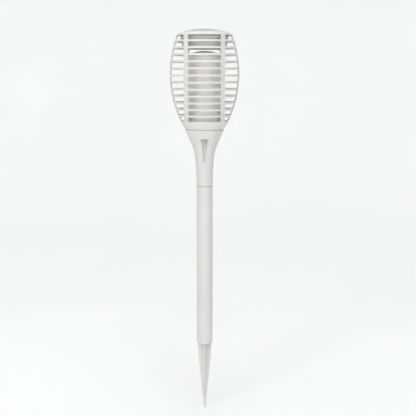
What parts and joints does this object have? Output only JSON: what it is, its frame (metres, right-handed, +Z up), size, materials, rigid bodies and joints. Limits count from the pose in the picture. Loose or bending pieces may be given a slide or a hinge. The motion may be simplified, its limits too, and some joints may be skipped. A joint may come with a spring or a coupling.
{
  "type": "solar tiki torch",
  "caption": "Slim solar garden torch: a slotted barrel lantern with a frosted diffuser and domed solar lid on a funnel neck, thin pole and cross-bladed ground spike.",
  "frame": {"origin": "tip of the ground spike, on the axis of the pole", "axes": "+Z up along the pole, -Y towards the front, +X to the right seen from the front"},
  "size_m": [0.0794, 0.0794, 0.45],
  "materials": {
    "shell": "off-white moulded plastic, satin with a fine texture",
    "frosted": "frosted milky translucent plastic",
    "window_clear": "clear polished plastic",
    "solar_cells": "dark blue silicon under a glossy film",
    "seal_rubber": "mid-grey elastomer",
    "module_plastic": "light warm grey moulded plastic",
    "board": "green solder mask",
    "chip": "black epoxy",
    "led": "amber resin in a white package",
    "cell_sleeve": "plain green shrink sleeve",
    "steel": "zinc-plated steel",
    "nickel": "nickel-plated spring steel",
    "wire_red": "red PVC insulation",
    "wire_black": "black PVC insulation"
  },
  "bodies": {
    "spike": {"ground_spike": "shell"},
    "pole": {"pole_tube": "shell"},
    "head": {"neck": "shell", "cage": "shell", "flame_diffuser": "frosted"},
    "lid": {"lid": "shell", "lid_seal": "seal_rubber", "solar_window": "window_clear", "solar_panel": "solar_cells", "module_housing": "module_plastic", "battery_door": "module_plastic", "control_board": "board", "light_window": "window_clear", "light_board": "board", "led_1": "led", "led_2": "led", "led_3": "led", "led_4": "led", "led_5": "led", "led_6": "led", "module_screw_1": "steel", "module_screw_2": "steel", "module_screw_3": "steel", "module_screw_4": "steel", "door_screw": "steel", "battery_cell": "cell_sleeve", "battery_contact": "nickel", "battery_spring": "nickel", "driver_chip": "chip", "charge_coil": "chip", "switch_body": "chip", "panel_lead_negative": "wire_black", "panel_lead_positive": "wire_red", "light_lead_negative": "wire_black", "light_lead_positive": "wire_red", "cell_lead_negative": "wire_black", "cell_lead_positive": "wire_red"},
    "switch": {"switch_knob": "seal_rubber"}
  },
  "joints": [
    {"name": "spike_socket", "type": "slide", "parent": "spike", "child": "pole", "axis": [0, 0, 1], "range_m": [0, 0.03]},
    {"name": "neck_socket", "type": "slide", "parent": "pole", "child": "head", "axis": [0, 0, 1], "range_m": [0, 0.03]},
    {"name": "lid_lift", "type": "slide", "parent": "head", "child": "lid", "axis": [0, 0, 1], "range_m": [0, 0.03]},
    {"name": "switch_slide", "type": "slide", "parent": "lid", "child": "switch", "axis": [1, 0, 0], "range_m": [0, 0.0025]}
  ]
}
